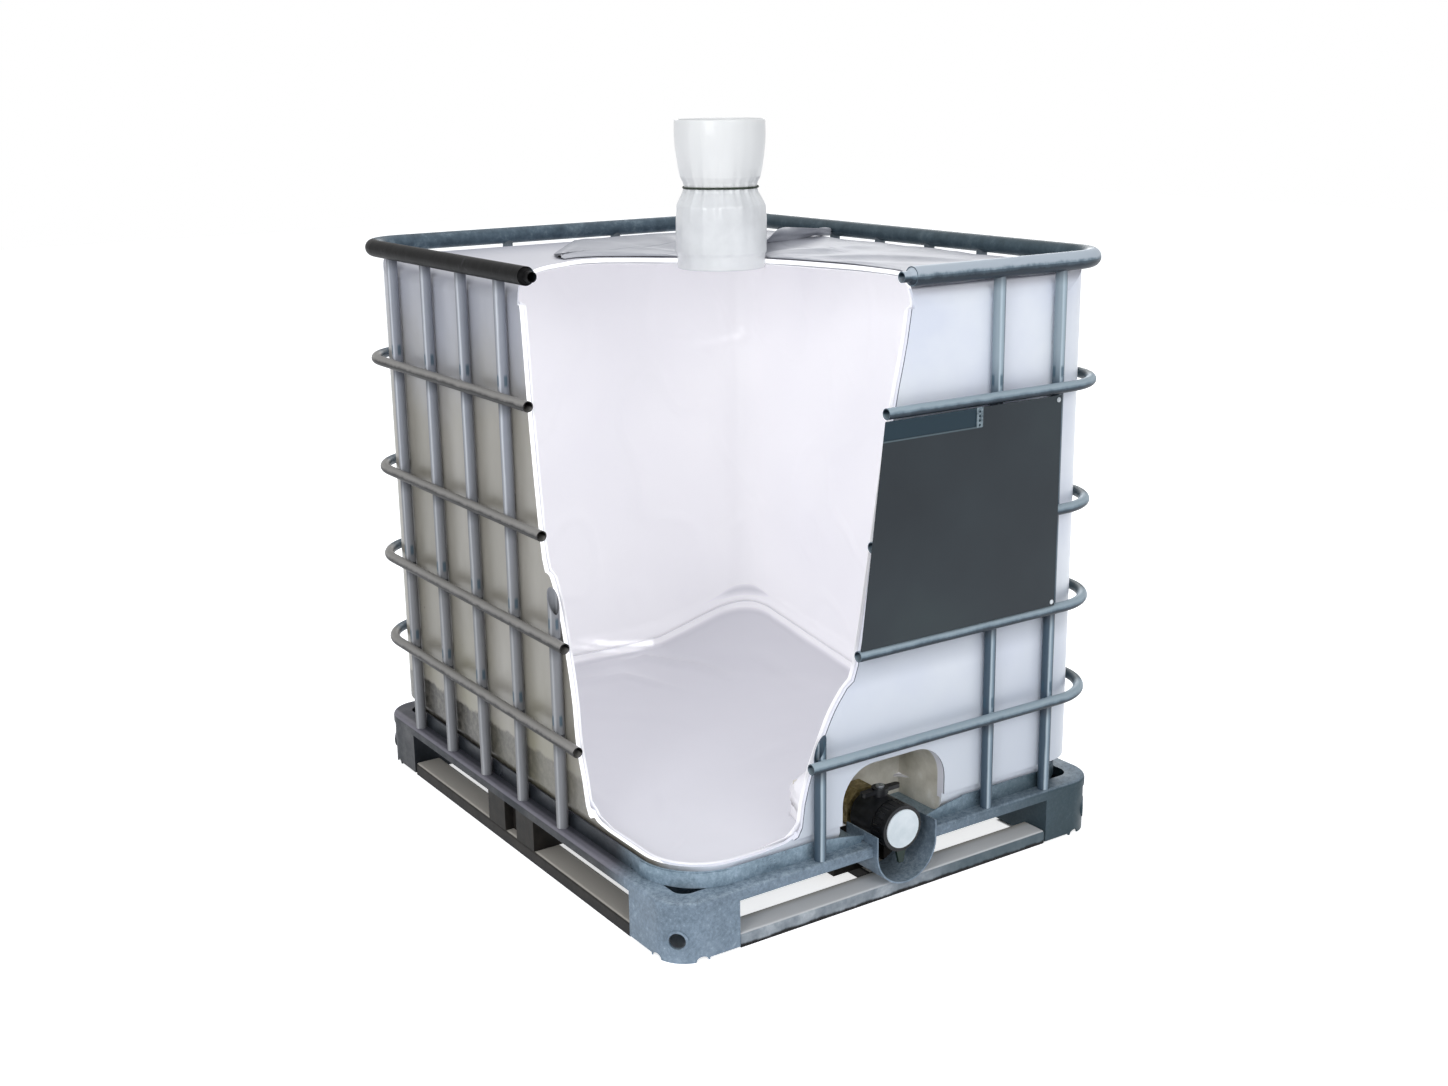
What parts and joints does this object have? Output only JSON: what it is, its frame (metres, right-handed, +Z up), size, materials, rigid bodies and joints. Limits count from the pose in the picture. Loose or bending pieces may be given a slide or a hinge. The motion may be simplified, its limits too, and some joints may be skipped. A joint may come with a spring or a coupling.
{
  "type": "intermediate bulk container",
  "caption": "Sectioned caged bulk container: white bottle with film liner and fill sleeve in a tube cage on a steel pallet, with a butterfly outlet valve.",
  "frame": {"origin": "on the ground, under the middle of the container's bounding box", "axes": "+Z up, -Y towards the side with the outlet valve, Y along the longer side of the pallet"},
  "size_m": [1.024, 1.224, 1.38],
  "materials": {
    "dark_steel": "galvanised, grimy",
    "galvanised": "hot-dip galvanised",
    "cage_steel": "galvanised tube",
    "label_plate": "matt slate",
    "bright_steel": "zinc plated",
    "bottle_plastic": "natural polyethylene",
    "liner_film": "glossy film",
    "sleeve_film": "satin film",
    "black_cord": "cord",
    "rubber": "matt",
    "brass": "dull",
    "black_plastic": "satin",
    "white_plastic": "satin",
    "grey_plastic": "satin"
  },
  "bodies": {
    "container": {"skid_left": "dark_steel", "skid_right": "dark_steel", "skid_front": "dark_steel", "skid_back": "dark_steel", "skid_centre": "dark_steel", "foot_front_left": "galvanised", "foot_front_right": "galvanised", "foot_back_left": "galvanised", "foot_back_right": "galvanised", "mid_foot_left": "dark_steel", "mid_foot_right": "dark_steel", "mid_foot_front": "dark_steel", "mid_foot_back": "dark_steel", "mid_foot_centre": "dark_steel", "pallet_rim": "galvanised", "deck_beams": "galvanised", "tray": "galvanised", "tray_corner_plates": "galvanised", "valve_guard": "galvanised", "top_rail": "cage_steel", "rail_end_plugs": "cage_steel", "ring_1": "cage_steel", "ring_2": "cage_steel", "ring_3": "cage_steel", "ring_4": "cage_steel", "uprights_left": "cage_steel", "uprights_right": "cage_steel", "uprights_front": "cage_steel", "uprights_back": "cage_steel", "label_plate": "label_plate", "label_clip": "bright_steel", "plate_screws": "bright_steel", "bottle": "bottle_plastic", "liner": "liner_film", "fill_sleeve": "sleeve_film", "sleeve_tie": "black_cord", "outlet_gasket": "rubber", "valve_body": "black_plastic", "valve_seat": "rubber", "stem_seal": "rubber"},
    "spindle": {"valve_stem": "bright_steel", "valve_disc": "grey_plastic", "valve_handle": "black_plastic", "handle_screw": "bright_steel"},
    "nut": {"union_nut": "brass"},
    "cap": {"outlet_cap": "black_plastic", "cap_disc": "white_plastic", "cap_gasket": "rubber"}
  },
  "joints": [
    {"name": "valve_turn", "type": "hinge", "parent": "container", "child": "spindle", "pos_m": [0, -0.53, 0.128], "axis": [0, 0, 1], "range_deg": [0, 90]},
    {"name": "nut_turn", "type": "hinge", "parent": "container", "child": "nut", "pos_m": [0, -0.465, 0.128], "axis": [0, -1, 0], "continuous": true},
    {"name": "cap_slide", "type": "slide", "parent": "container", "child": "cap", "axis": [0, -1, 0], "range_m": [0, 0.2]}
  ]
}
